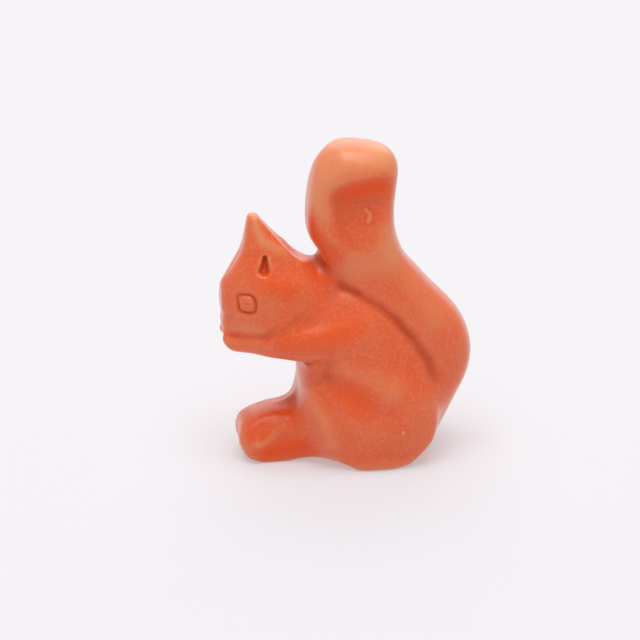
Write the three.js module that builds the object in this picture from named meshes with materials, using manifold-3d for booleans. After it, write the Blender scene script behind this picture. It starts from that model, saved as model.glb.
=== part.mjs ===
// Toy squirrel figure, sitting up with its paws at its mouth and its tail curled up its back.
// Millimetres, +Z up. The squirrel faces -Y, its left side is +X, and the origin is on the
// ground under the middle of its box.
//
// Each member of the figure is one swelling form: rings set square to a middle line, with a
// round end at each end of it. A member is cut by the larger ones that carry it, and a thin
// joint is left between the two.

import * as THREE from "three";
import { mergeVertices } from "three/addons/utils/BufferGeometryUtils.js";
import Module from "manifold-3d";

// Overall sizes
const HEIGHT = 35; // ground to the crown of the tail
const LENGTH = 26.7; // muzzle to the back of the tail
const WIDTH = 14.8; // over the two haunches
const JOINT = 0.15; // gap left where one member is joined to another

// Stations along each middle line. y runs from the muzzle to the tail and z is up. wide is the
// full size across the figure and deep the full size square to that and to the middle line.
// inset is how far each side of the torso is drawn in from the sides of the belly.
const TORSO = {
  seat: { y: 2.6, z: 1.2, inset: 0.4, deep: 13.4 },
  belly: { y: 2.3, z: 6.5, inset: 0, deep: 14.6 },
  chest: { y: 1.0, z: 12.5, inset: 0.5, deep: 13.2 },
  withers: { y: -1.4, z: 17.2, inset: 1.7, deep: 9.0 },
};
const TORSO_SEAT_END = 2.0;
const TORSO_NECK_END = 2.8;
const TORSO_SQUARENESS = 2.7;

// share is the part of the way from the nape to the muzzle
const NAPE_Y = -3.0;
const HEAD = {
  nape: { share: 0, z: 18.5, wide: 7.4, deep: 5.8 },
  poll: { share: 0.32, z: 18.7, wide: 8.6, deep: 8.0 },
  cheek: { share: 0.65, z: 18.0, wide: 9.0, deep: 9.7 },
  muzzle: { share: 1, z: 17.2, wide: 6.4, deep: 7.0 },
};
const HEAD_NAPE_END = 1.5;
const HEAD_MUZZLE_END = 1.9;
const HEAD_SQUARENESS = 2.2;
const HEAD_END_SQUARENESS = 2.5;

const TAIL = {
  root: { y: 6.8, z: 2.2, wide: 7.0, deep: 5.4 },
  rump: { y: 8.5, z: 7.0, wide: 8.4, deep: 6.6 },
  bulge: { y: 9.5, z: 12.2, wide: 9.0, deep: 7.6 },
  sweep: { y: 5.9, z: 16.9, wide: 9.0, deep: 7.4 },
  neck: { y: 2.75, z: 21.0, wide: 8.4, deep: 7.5 },
  plume: { y: 0.45, z: 26.2, wide: 8.4, deep: 9.4 },
  tip: { y: 1.25, wide: 7.6, deep: 8.5 },
};
const TAIL_ROOT_END = 2.0;
const TAIL_TIP_END = 3.1;
const TAIL_SQUARENESS = 2.6;
const TAIL_TIP_SQUARENESS = 2.6;

// A dish sunk into each side of the plume, steep under the crown and fading out below. Its place,
// its rise above that, its fall below it and its slant are shares of the tail's length: it is
// lower by the slant at the front of the tail and higher by it at the back. Its spread each way
// round the tail is in degrees.
const DISH_PLACE_SHARE = 0.925;
const DISH_RISE_SHARE = 0.07;
const DISH_FALL_SHARE = 0.19;
const DISH_SLANT_SHARE = 0.03;
const DISH_SPREAD_ANGLE = 56;
const DISH_DEPTH = 0.9;

// Ears: two halves of one crest, set from the top of the head. x, y and z run from that seat.
const EAR_PLACE_SHARE = 0.585; // of the head's length
const EAR = {
  root: { x: 1.4, y: 0.5, z: -2.4, wide: 3.7, deep: 6.6 },
  base: { x: 1.35, y: 0.2, z: -0.6, wide: 3.6, deep: 5.6 },
  blade: { x: 0.95, y: -0.1, z: 0.8, wide: 2.7, deep: 4.4 },
  point: { x: 0.6, y: -0.4, z: 2.4, wide: 1.9, deep: 2.5 },
  tip: { x: 0.4, y: -0.85, z: 3.5, wide: 1.3, deep: 1.3 },
};
const EAR_ROOT_END = 1.0;
const EAR_TIP_END = 0.6;

// A teardrop hollow in each ear, with its point upwards, set from the same seat
const HOLLOW = {
  bowl: { x: 3.3, y: 0.1, z: -1.0, wide: 1.3, deep: 1.1 },
  point: { x: 2.7, y: 0.1, z: 0.3, wide: 0.6, deep: 0.3 },
};
const HOLLOW_BOWL_END = 0.5;
const HOLLOW_POINT_END = 0.2;

// Eyes: a flat pellet standing in a round socket, with a groove left round it
const EYE_PLACE_SHARE = 0.92; // of the head's length
const EYE_PLACE_ANGLE = 12; // up from its side
const EYE_DIAMETER = 1.55;
const EYE_GROOVE = 0.36;
const EYE_SOCKET_DEPTH = 0.45;
const EYE_CROWN = 0.2;

// Forelegs: from the shoulder down to the elbow and along under the jaw to the mouth. share is
// the part of the way from the elbow to the paw.
const SHOULDER_PLACE_SHARE = 0.76; // of the torso's length
const SHOULDER_PLACE_ANGLE = 8; // from its side towards its back
const SHOULDER_BEDDING = 1.4;
const FORELEG = {
  shoulder: { wide: 4.4, deep: 7.4 },
  elbow: { x: 4.4, y: -3.4, z: 14.0, wide: 4.2, deep: 4.8 },
  forearm: { x: 2.7, share: 0.48, z: 13.7, wide: 4.4, deep: 3.4 },
  paw: { x: 1.6, wide: 3.6, deep: 2.8 },
};
const FORELEG_SHOULDER_END = 2.6;
const PAW_END = 1.4;
const PAW_AHEAD = 0.5;
const PAW_BELOW_CHIN = 0.35;

// Haunches: a folded hind leg on each flank, standing out from the belly and bedded into it.
// inset is how far the outside of a haunch is drawn in from the full width.
const HAUNCH_RELIEF = 1.0;
const HAUNCH = {
  knee: { y: -0.7, z: 6.5, deep: 10.6, inset: 0.5, bedding: 3.8 },
  thigh: { y: 2.4, z: 5.3, deep: 12.6, inset: 0, bedding: 2.4 },
  rump: { y: 4.8, z: 4.4, deep: 11.2, inset: 0.3, bedding: 2.4 },
};
const HAUNCH_KNEE_END = 4.7;
const HAUNCH_RUMP_END = 4.8;
const HAUNCH_SQUARENESS = 2.5;

// Feet: side by side under the belly, flat on the ground
const FOOT = {
  heel: { y: -0.5, z: 2.2, wide: 4.4, deep: 6.8 },
  instep: { y: -5.0, z: 2.4, wide: 4.6, deep: 6.6 },
  toe: { y: -9.6, z: 1.6, wide: 5.0, deep: 5.4 },
};
const FOOT_TOE_END = 2.0;
const FOOT_HEEL_END = 1.0;
const FOOT_OUTSIDE = 3.6;
const FOOT_SQUARENESS = 2.8;
const FOOT_END_SQUARENESS = 2.6;

// Finish: one orange plastic with a soft gloss
const ORANGE = 0xd8673f;
const GLOSS_ROUGHNESS = 0.3;

const SIDES = 24; // points round a ring
const BROAD_SIDES = 36; // points round a ring of the broadest members
const RINGS = 4; // rings from one station to the next
const TAIL_RINGS = 8; // the same along the tail
const END_RINGS = 5; // rings in a round end
const ACROSS = new THREE.Vector3(1, 0, 0);

const wasm = await Module();
wasm.setup();

// A closed geometry as a solid that can be joined and cut.
function solidOf(geometry) {
  const bare = geometry.clone();
  bare.deleteAttribute("normal");
  bare.deleteAttribute("uv");
  const merged = mergeVertices(bare);
  return new wasm.Manifold(
    new wasm.Mesh({
      numProp: 3,
      vertProperties: merged.getAttribute("position").array,
      triVerts: new Uint32Array(merged.index.array),
    }),
  );
}

// A solid as a geometry that can be drawn.
function geometryOf(solid) {
  const { vertProperties, triVerts } = solid.getMesh();
  const geometry = new THREE.BufferGeometry();
  geometry.setAttribute("position", new THREE.BufferAttribute(vertProperties, 3));
  geometry.setIndex(new THREE.BufferAttribute(triVerts, 1));
  geometry.computeVertexNormals();
  return geometry;
}

// A swelling form along a middle line, with a round end past its first and last stations.
class Member {
  constructor(stations, ends, shape = {}) {
    const { squareness = 2, endSquareness = 2, sides = SIDES, rings = RINGS, dish } = shape;
    const list = Object.values(stations);
    const through = (points) => new THREE.CatmullRomCurve3(points, false, "catmullrom", 0.5);
    this.middle = through(list.map((s) => new THREE.Vector3(s.x ?? 0, s.y, s.z)));
    this.girth = through(list.map((s) => new THREE.Vector3(s.wide / 2, s.deep / 2, 0)));
    this.ends = ends;
    this.squareness = squareness;
    this.endSquareness = endSquareness;
    this.sides = sides;
    this.dish = dish;
    this.steps = rings * (list.length - 1);
  }

  // How far a dish sinks the skin at a place, alike on the left and the right side.
  sunk(along, angle) {
    if (!this.dish) return 0;
    const { place, rise, fall, slant, depth } = this.dish;
    const spread = THREE.MathUtils.degToRad(this.dish.spread);
    const round = Math.asin(Math.abs(Math.sin(angle))) / spread;
    const above = along - place - slant * Math.sin(angle);
    const distance = Math.min(1, Math.hypot(above / (above > 0 ? rise : fall), round));
    return depth * Math.cos((distance * Math.PI) / 2) ** 2;
  }

  // Middle, axes and half sizes of the ring at a share of the way along.
  ring(along) {
    const tangent = this.middle.getTangent(along);
    const across = ACROSS.clone().addScaledVector(tangent, -tangent.x).normalize();
    const outward = tangent.clone().cross(across);
    const half = this.girth.getPoint(along);
    return { along, centre: this.middle.getPoint(along), tangent, across, outward, half };
  }

  // Point on a ring. angle is measured from the left side of the figure towards outward, and
  // lean runs from 0 on the ring to a quarter turn at the pole of a round end reaching reach.
  point(ring, angle, grow, lean = 0, reach = 0) {
    const power = 2 / this.squareness;
    const rounded = (value) => Math.sign(value) * Math.abs(value) ** power;
    const rise = Math.sin(lean);
    const shrink = (1 - rise ** this.endSquareness) ** (1 / this.endSquareness);
    const across = ring.half.x + grow - this.sunk(ring.along, angle);
    const outward = ring.half.y + grow;
    return ring.centre
      .clone()
      .addScaledVector(ring.tangent, reach * rise)
      .addScaledVector(ring.across, rounded(Math.cos(angle)) * across * shrink)
      .addScaledVector(ring.outward, rounded(Math.sin(angle)) * outward * shrink);
  }

  // Place and outward direction on the skin, angle in degrees.
  skin(along, angle) {
    const reach = 0.01;
    const turn = THREE.MathUtils.degToRad(angle);
    const at = (share, round) => this.point(this.ring(share), round, 0);
    const place = at(along, turn);
    const round = at(along, turn + reach).sub(at(along, turn - reach));
    const ahead = at(along + reach, turn).sub(at(along - reach, turn));
    return { place, out: round.cross(ahead).normalize() };
  }

  // The closed surface, made larger by grow all over.
  geometry(grow = 0) {
    const leans = [...Array(END_RINGS).keys()].map((i) => (i / END_RINGS) * (Math.PI / 2)).slice(1);
    const layers = [];
    for (const lean of leans.toReversed())
      layers.push({ ring: this.ring(0), lean, reach: -this.ends.start - grow });
    for (let i = 0; i <= this.steps; i++)
      layers.push({ ring: this.ring(i / this.steps), lean: 0, reach: 0 });
    for (const lean of leans) layers.push({ ring: this.ring(1), lean, reach: this.ends.end + grow });
    const points = [];
    for (const { ring, lean, reach } of layers)
      for (let side = 0; side < this.sides; side++)
        points.push(this.point(ring, (side / this.sides) * 2 * Math.PI, grow, lean, reach));
    const pole = (ring, reach) => ring.centre.clone().addScaledVector(ring.tangent, reach);
    const first = points.push(pole(this.ring(0), -this.ends.start - grow)) - 1;
    const last = points.push(pole(this.ring(1), this.ends.end + grow)) - 1;
    const triangles = [];
    const corner = (layer, side) => layer * this.sides + (side % this.sides);
    const top = layers.length - 1;
    for (let side = 0; side < this.sides; side++) {
      triangles.push(first, corner(0, side + 1), corner(0, side));
      triangles.push(corner(top, side), corner(top, side + 1), last);
      for (let layer = 0; layer < top; layer++) {
        triangles.push(corner(layer, side), corner(layer, side + 1), corner(layer + 1, side + 1));
        triangles.push(corner(layer, side), corner(layer + 1, side + 1), corner(layer + 1, side));
      }
    }
    return new THREE.BufferGeometry().setFromPoints(points).setIndex(triangles);
  }

  solid(grow = 0) {
    return solidOf(this.geometry(grow));
  }
}

// A large block, used to cut away all that lies below the ground or across the middle.
function block(x, y, z) {
  const size = 4 * HEIGHT;
  return solidOf(new THREE.BoxGeometry(size, size, size).translate(x * size, y * size, z * size));
}

// A geometry made along +Y, set with that axis along a direction from a place.
function stand(geometry, place, direction) {
  const turn = new THREE.Quaternion().setFromUnitVectors(new THREE.Vector3(0, 1, 0), direction);
  return geometry.applyQuaternion(turn).translate(place.x, place.y, place.z);
}

// The box round a member.
function boxOf(member) {
  return new THREE.Box3().setFromBufferAttribute(member.geometry().getAttribute("position"));
}

// The same stations, each changed by a function.
function stationsOf(stations, change) {
  return Object.fromEntries(Object.entries(stations).map(([name, s]) => [name, change(s)]));
}

// Middle forms
function makeTorso() {
  const wideAt = ({ inset, ...s }) => ({ wide: WIDTH - 2 * (HAUNCH_RELIEF + inset), ...s });
  return new Member(
    stationsOf(TORSO, wideAt),
    { start: TORSO_SEAT_END, end: TORSO_NECK_END },
    { squareness: TORSO_SQUARENESS, sides: BROAD_SIDES },
  );
}
const torso = makeTorso();

// The tail with its tip station at a height. The crown stands a little over that station and
// its round end, so the station is then let down until the crown is at the full height.
function makeTail(tipHeight) {
  const dish = {
    place: DISH_PLACE_SHARE,
    rise: DISH_RISE_SHARE,
    fall: DISH_FALL_SHARE,
    slant: DISH_SLANT_SHARE,
    spread: DISH_SPREAD_ANGLE,
    depth: DISH_DEPTH,
  };
  return new Member(
    { ...TAIL, tip: { z: tipHeight, ...TAIL.tip } },
    { start: TAIL_ROOT_END, end: TAIL_TIP_END },
    { squareness: TAIL_SQUARENESS, endSquareness: TAIL_TIP_SQUARENESS, rings: TAIL_RINGS, dish },
  );
}
const tipHeight = HEIGHT - TAIL_TIP_END;
const tail = makeTail(tipHeight + HEIGHT - boxOf(makeTail(tipHeight)).max.z);

// The head with its muzzle station at a place. The station is then moved until the front of the
// muzzle is the full length ahead of the tail.
function makeHead(muzzlePlace) {
  const placed = ({ share, ...s }) => ({ y: THREE.MathUtils.lerp(NAPE_Y, muzzlePlace, share), ...s });
  return new Member(
    stationsOf(HEAD, placed),
    { start: HEAD_NAPE_END, end: HEAD_MUZZLE_END },
    { squareness: HEAD_SQUARENESS, endSquareness: HEAD_END_SQUARENESS },
  );
}
const front = boxOf(tail).max.y - LENGTH;
const muzzlePlace = front + HEAD_MUZZLE_END;
const head = makeHead(muzzlePlace + front - boxOf(makeHead(muzzlePlace)).min.y);

// Left-hand forms
function makeEar() {
  const seat = head.skin(EAR_PLACE_SHARE, 90).place;
  const onHead = ({ y, z, ...s }) => ({ y: seat.y + y, z: seat.z + z, ...s });
  const form = new Member(
    stationsOf(EAR, onHead),
    { start: EAR_ROOT_END, end: EAR_TIP_END },
    { sides: 16 },
  );
  const hollow = new Member(
    stationsOf(HOLLOW, onHead),
    { start: HOLLOW_BOWL_END, end: HOLLOW_POINT_END },
    { sides: 12 },
  );
  return { form, hollow };
}

function makeForeleg() {
  const seat = torso.skin(SHOULDER_PLACE_SHARE, SHOULDER_PLACE_ANGLE);
  const shoulder = seat.place.clone().addScaledVector(seat.out, -SHOULDER_BEDDING);
  const chin = head.skin(1, -90).place;
  const paw = {
    y: head.middle.getPoint(1).y - PAW_AHEAD,
    z: chin.z - PAW_BELOW_CHIN,
    ...FORELEG.paw,
  };
  const { share, ...forearm } = FORELEG.forearm;
  forearm.y = THREE.MathUtils.lerp(FORELEG.elbow.y, paw.y, share);
  return new Member(
    {
      shoulder: { x: shoulder.x, y: shoulder.y, z: shoulder.z, ...FORELEG.shoulder },
      elbow: FORELEG.elbow,
      forearm,
      paw,
    },
    { start: FORELEG_SHOULDER_END, end: PAW_END },
    { sides: 18 },
  );
}

function makeHaunch() {
  const placed = ({ inset, bedding, ...s }) => {
    const outside = WIDTH / 2 - inset;
    const inside = WIDTH / 2 - HAUNCH_RELIEF - bedding;
    return { x: (outside + inside) / 2, wide: outside - inside, ...s };
  };
  return new Member(
    stationsOf(HAUNCH, placed),
    { start: HAUNCH_KNEE_END, end: HAUNCH_RUMP_END },
    { squareness: HAUNCH_SQUARENESS, sides: BROAD_SIDES },
  );
}

function makeFoot() {
  const onGround = (station) => ({ x: FOOT_OUTSIDE - station.wide / 2, ...station });
  return new Member(
    { heel: onGround(FOOT.heel), instep: onGround(FOOT.instep), toe: onGround(FOOT.toe) },
    { start: FOOT_HEEL_END, end: FOOT_TOE_END },
    { squareness: FOOT_SQUARENESS, endSquareness: FOOT_END_SQUARENESS, sides: 20 },
  );
}

// Pellet and socket of the eye
function makeEye() {
  const { place, out } = head.skin(EYE_PLACE_SHARE, EYE_PLACE_ANGLE);
  const radius = EYE_DIAMETER / 2;
  const floor = place.clone().addScaledVector(out, -EYE_SOCKET_DEPTH);
  const crown = new THREE.SplineCurve([
    new THREE.Vector2(radius, EYE_SOCKET_DEPTH - EYE_CROWN / 2),
    new THREE.Vector2(radius * 0.72, EYE_SOCKET_DEPTH + EYE_CROWN * 0.6),
    new THREE.Vector2(0, EYE_SOCKET_DEPTH + EYE_CROWN),
  ]);
  const profile = [
    new THREE.Vector2(0, JOINT),
    new THREE.Vector2(radius, JOINT),
    ...crown.getPoints(4),
  ];
  const pellet = new THREE.LatheGeometry(profile, 18);
  const bore = radius + EYE_GROOVE;
  const above = EYE_SOCKET_DEPTH * 2;
  const socket = new THREE.CylinderGeometry(bore, bore, EYE_SOCKET_DEPTH + above, 18);
  socket.translate(0, (EYE_SOCKET_DEPTH + above) / 2, 0);
  return { pellet: stand(pellet, floor, out), socket: stand(socket, floor, out) };
}

const ear = makeEar();
const foreleg = makeForeleg();
const haunch = makeHaunch();
const foot = makeFoot();
const eye = makeEye();

// Cuts
const belowGround = block(0, 0, -0.5);
const farSide = block(-0.5, 0, 0).translate(JOINT / 2, 0, 0);
const mirrored = (solid) => solid.mirror([1, 0, 0]);
const socket = solidOf(eye.socket);
const hollow = ear.hollow.solid();

const torsoSolid = torso.solid().subtract(belowGround);
const tailSolid = tail.solid().subtract(torso.solid(JOINT)).subtract(belowGround);
const headSolid = head
  .solid()
  .subtract(torso.solid(JOINT))
  .subtract(tail.solid(JOINT))
  .subtract(socket)
  .subtract(mirrored(socket))
  .subtract(hollow)
  .subtract(mirrored(hollow));
const earSolid = ear.form
  .solid()
  .subtract(head.solid(JOINT))
  .subtract(hollow)
  .subtract(farSide);
const haunchSolid = haunch
  .solid()
  .subtract(torso.solid(JOINT))
  .subtract(tail.solid(JOINT))
  .subtract(belowGround);
const forelegSolid = foreleg
  .solid()
  .subtract(torso.solid(JOINT))
  .subtract(head.solid(JOINT))
  .subtract(haunch.solid(JOINT))
  .subtract(farSide);
const footSolid = foot
  .solid()
  .subtract(torso.solid(JOINT))
  .subtract(haunch.solid(JOINT))
  .subtract(belowGround)
  .subtract(farSide);

// The figure
function piece(name, solid) {
  const material = new THREE.MeshStandardMaterial({
    color: ORANGE,
    roughness: GLOSS_ROUGHNESS,
    metalness: 0,
  });
  const mesh = new THREE.Mesh(geometryOf(solid), material);
  mesh.name = name;
  return mesh;
}

const squirrel = new THREE.Group();
squirrel.add(piece("torso", torsoSolid), piece("head", headSolid), piece("tail", tailSolid));
for (const [side, hand] of [["left", 1], ["right", -1]]) {
  const half = new THREE.Group();
  half.scale.x = hand;
  half.add(
    piece(`${side}_ear`, earSolid),
    piece(`${side}_eye`, solidOf(eye.pellet)),
    piece(`${side}_foreleg`, forelegSolid),
    piece(`${side}_haunch`, haunchSolid),
    piece(`${side}_foot`, footSolid),
  );
  squirrel.add(half);
}

export default squirrel;
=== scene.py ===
"""Toy squirrel figure: its moulded skin, parted into its members, on a pale studio floor."""

import logging
import math
from dataclasses import dataclass, field
from enum import Enum
from typing import ClassVar, Iterable, Protocol, Sequence, runtime_checkable

import bpy
import numpy as np
from mathutils import Matrix, Vector
from mathutils.bvhtree import BVHTree
from mathutils.kdtree import KDTree


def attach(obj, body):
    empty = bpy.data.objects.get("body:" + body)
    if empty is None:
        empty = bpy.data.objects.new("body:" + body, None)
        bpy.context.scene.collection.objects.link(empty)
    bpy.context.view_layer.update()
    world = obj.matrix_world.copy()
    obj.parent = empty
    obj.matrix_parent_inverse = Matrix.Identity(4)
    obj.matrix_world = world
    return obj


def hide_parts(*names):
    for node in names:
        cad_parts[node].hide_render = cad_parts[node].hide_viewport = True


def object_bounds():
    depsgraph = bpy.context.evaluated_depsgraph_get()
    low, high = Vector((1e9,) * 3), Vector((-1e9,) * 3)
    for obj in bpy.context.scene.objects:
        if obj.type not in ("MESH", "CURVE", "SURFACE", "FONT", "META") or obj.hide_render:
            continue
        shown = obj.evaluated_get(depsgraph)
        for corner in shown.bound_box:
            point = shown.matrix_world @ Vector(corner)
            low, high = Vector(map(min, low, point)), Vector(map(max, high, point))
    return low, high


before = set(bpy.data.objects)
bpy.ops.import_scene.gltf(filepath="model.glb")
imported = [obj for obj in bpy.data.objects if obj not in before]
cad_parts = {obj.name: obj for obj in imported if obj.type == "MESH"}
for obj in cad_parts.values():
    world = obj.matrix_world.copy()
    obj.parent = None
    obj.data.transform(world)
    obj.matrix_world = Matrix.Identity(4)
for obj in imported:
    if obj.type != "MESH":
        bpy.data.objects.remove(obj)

logging.basicConfig(level=logging.INFO, format="%(message)s")
log = logging.getLogger("squirrel")

CAD_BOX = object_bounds()
MM = 0.001
Point = tuple[float, float, float]
Line = tuple[Point, ...]
Colour = tuple[float, float, float, float]
Span = tuple[float, float]


class Family(Enum):
    """The kinds of members, whichever side they are on."""

    TORSO = "torso"
    HEAD = "head"
    TAIL = "tail"
    EAR = "ear"
    EYE = "eye"
    FORELEG = "foreleg"
    HAUNCH = "haunch"
    FOOT = "foot"


class Member(Enum):
    """The members of the figure, by the names of their CAD nodes."""

    TORSO = "torso"
    HEAD = "head"
    TAIL = "tail"
    LEFT_EAR = "left_ear"
    RIGHT_EAR = "right_ear"
    LEFT_EYE = "left_eye"
    RIGHT_EYE = "right_eye"
    LEFT_FORELEG = "left_foreleg"
    RIGHT_FORELEG = "right_foreleg"
    LEFT_HAUNCH = "left_haunch"
    RIGHT_HAUNCH = "right_haunch"
    LEFT_FOOT = "left_foot"
    RIGHT_FOOT = "right_foot"

    @property
    def family(self) -> Family:
        """The member's kind, by its name without its side."""
        return Family(self.value.split("_")[-1])


class Tool(Enum):
    """Modifiers that shape the clay."""

    GROW = "DISPLACE"
    REMESH = "REMESH"
    SMOOTH = "SMOOTH"
    DIVIDE = "SUBSURF"
    CUT = "BOOLEAN"


class Cut(Enum):
    """What becomes of a body where another one lies in it."""

    KEPT = "INTERSECT"
    TAKEN = "DIFFERENCE"
    UNITED = "UNION"


class Facing(Enum):
    """Which way a stretch of skin faces."""

    ANY = "any"
    UP = "up"
    SIDE = "side"

    def share(self, normals: np.ndarray) -> np.ndarray:
        """Say how far each point of the skin faces that way.

        Args:
            normals: The skin's normals.

        Returns:
            For each point a share from 0 to 1.
        """
        if self is Facing.UP:
            return np.clip(normals[:, 2], 0.0, 1.0)
        if self is Facing.SIDE:
            gain, least = 2.0, 0.3
            return np.clip(gain * np.abs(normals[:, 0]) - least, 0.0, 1.0)
        return np.ones(len(normals))


MEMBERS = list(Member)


def choose(obj: bpy.types.Object) -> None:
    """Make one object the only selected one, and the active one.

    Args:
        obj: The object.
    """
    bpy.ops.object.select_all(action="DESELECT")
    obj.select_set(True)
    bpy.context.view_layer.objects.active = obj


def use_tool(obj: bpy.types.Object, tool: Tool, **settings: object) -> None:
    """Add a modifier to an object, set it and apply it.

    Args:
        obj: The object to shape.
        tool: The modifier to use.
        settings: The modifier's own settings.
    """
    choose(obj)
    modifier = obj.modifiers.new(tool.value.lower(), tool.value)
    for name, value in settings.items():
        setattr(modifier, name, value)
    bpy.ops.object.modifier_apply(modifier=modifier.name)


def rows_of(
    items: bpy.types.bpy_prop_collection, name: str, width: int, kind: type = np.float32
) -> np.ndarray:
    """Read a property of many items at once.

    Args:
        items: The items.
        name: The property's name.
        width: How many numbers each item has.
        kind: The type of the numbers.

    Returns:
        One row of numbers for each item.
    """
    flat = np.empty(len(items) * width, dtype=kind)
    items.foreach_get(name, flat)
    return flat.reshape(-1, width)


def points_of(obj: bpy.types.Object) -> np.ndarray:
    """Read an object's vertices as rows of x, y and z."""
    return rows_of(obj.data.vertices, "co", 3).astype(np.float64)


def normals_of(obj: bpy.types.Object) -> np.ndarray:
    """Read an object's vertex normals as rows of x, y and z."""
    return rows_of(obj.data.vertex_normals, "vector", 3).astype(np.float64)


def edges_of(obj: bpy.types.Object) -> np.ndarray:
    """Read an object's edges as rows of two vertex numbers."""
    return rows_of(obj.data.edges, "vertices", 2, np.int32)


def set_points(obj: bpy.types.Object, points: np.ndarray) -> None:
    """Write an object's vertices back from rows of x, y and z."""
    obj.data.vertices.foreach_set("co", points.astype(np.float32).ravel())
    obj.data.update()


def averaged(values: np.ndarray, edges: np.ndarray, rounds: int) -> np.ndarray:
    """Average values over neighbouring vertices, several times.

    Args:
        values: One row for each vertex.
        edges: Rows of two vertex numbers.
        rounds: How often to average.

    Returns:
        The averaged values, in the same rows.
    """
    count = np.bincount(edges.ravel(), minlength=len(values)).astype(np.float64)
    count[count == 0] = 1.0
    out = values.astype(np.float64)
    for _ in range(rounds):
        total = np.empty_like(out)
        for column in range(out.shape[1]):
            lane = out[:, column]
            total[:, column] = np.bincount(edges[:, 0], lane[edges[:, 1]], len(lane))
            total[:, column] += np.bincount(edges[:, 1], lane[edges[:, 0]], len(lane))
        out = 0.5 * out + 0.5 * total / count[:, None]
    return out


def bench_copy(member: Member, grow: float = 0.0) -> bpy.types.Object:
    """Copy a CAD node's mesh to the bench, in millimetres, with its doubles merged.

    Args:
        member: The member to copy.
        grow: How far to push its skin outwards.

    Returns:
        The copy, a closed mesh.
    """
    merge_within = 0.002
    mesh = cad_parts[member.value].data.copy()
    mesh.transform(Matrix.Scale(1 / MM, 4))
    copy = bpy.data.objects.new("bench_" + member.value, mesh)
    bpy.context.scene.collection.objects.link(copy)
    choose(copy)
    bpy.ops.object.mode_set(mode="EDIT")
    bpy.ops.mesh.select_all(action="SELECT")
    bpy.ops.mesh.remove_doubles(threshold=merge_within)
    bpy.ops.object.mode_set(mode="OBJECT")
    if grow:
        use_tool(copy, Tool.GROW, strength=grow, mid_level=0.0)
    return copy


def discard(obj: bpy.types.Object) -> None:
    """Remove an object and its mesh from the bench.

    Args:
        obj: The object.
    """
    mesh = obj.data
    bpy.data.objects.remove(obj)
    bpy.data.meshes.remove(mesh)


def tree_of(points: np.ndarray) -> KDTree:
    """Sort points into a tree for finding the nearest of them.

    Args:
        points: One row for each point.

    Returns:
        The tree, which numbers the points by their rows.
    """
    tree = KDTree(len(points))
    for number, place in enumerate(points.tolist()):
        tree.insert(place, number)
    tree.balance()
    return tree


def joined(objs: Sequence[bpy.types.Object]) -> bpy.types.Object:
    """Join several objects into the first of them.

    Args:
        objs: The objects.

    Returns:
        The first object, which holds all the meshes.
    """
    choose(objs[0])
    for obj in objs:
        obj.select_set(True)
    if len(objs) > 1:
        bpy.ops.object.join()
    return objs[0]


def loose_parts(obj: bpy.types.Object) -> list[bpy.types.Object]:
    """Part an object into its loose bodies.

    Args:
        obj: The object.

    Returns:
        One object for each body, largest first.
    """
    choose(obj)
    bpy.ops.object.mode_set(mode="EDIT")
    bpy.ops.mesh.select_all(action="SELECT")
    bpy.ops.mesh.separate(type="LOOSE")
    bpy.ops.object.mode_set(mode="OBJECT")
    parts = list(bpy.context.selected_objects)
    return sorted(parts, key=lambda part: -len(part.data.vertices))


@dataclass
class Registry:
    """Finds which member a place on the figure belongs to."""

    tree: BVHTree = field(init=False)
    owner: np.ndarray = field(init=False)

    def __post_init__(self) -> None:
        """Take in the faces of all the CAD nodes."""
        corners: list[Vector] = []
        faces: list[list[int]] = []
        owners: list[int] = []
        for number, member in enumerate(MEMBERS):
            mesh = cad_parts[member.value].data
            start = len(corners)
            corners += [vertex.co / MM for vertex in mesh.vertices]
            faces += [[start + v for v in polygon.vertices] for polygon in mesh.polygons]
            owners += [number] * len(mesh.polygons)
        self.tree = BVHTree.FromPolygons(corners, faces)
        self.owner = np.array(owners)

    def members_at(self, points: np.ndarray) -> np.ndarray:
        """Number the nearest member for each point."""
        return np.array([self.owner[self.tree.find_nearest(p)[2]] for p in points.tolist()])


def eased(share: np.ndarray) -> np.ndarray:
    """Ease shares in and out between 0 and 1."""
    held = np.clip(share, 0.0, 1.0)
    return held**2 * (3.0 - 2.0 * held)


def gap_to(points: np.ndarray, path: Line | np.ndarray) -> tuple[np.ndarray, np.ndarray]:
    """Measure from points to a line through several places.

    Args:
        points: One row for each point.
        path: The places along the line.

    Returns:
        Each point's distance, and how far along the line the nearest place is, from 0 to 1.
    """
    lane = np.array(path)
    count = len(lane) - 1
    nearest = np.full(len(points), np.inf)
    along = np.zeros(len(points))
    for step in range(count):
        way = lane[step + 1] - lane[step]
        share = np.clip((points - lane[step]) @ way / (way @ way), 0.0, 1.0)
        away = np.linalg.norm(points - lane[step] - share[:, None] * way, axis=1)
        along = np.where(away < nearest, (step + share) / count, along)
        nearest = np.minimum(nearest, away)
    return nearest, along


@runtime_checkable
class Brush(Protocol):
    """Something that moves the skin, alike on the left and the right side."""

    def shift(self, points: np.ndarray, normals: np.ndarray) -> np.ndarray:
        """Say how far each point moves, on a skin that is folded to its left side."""


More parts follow.
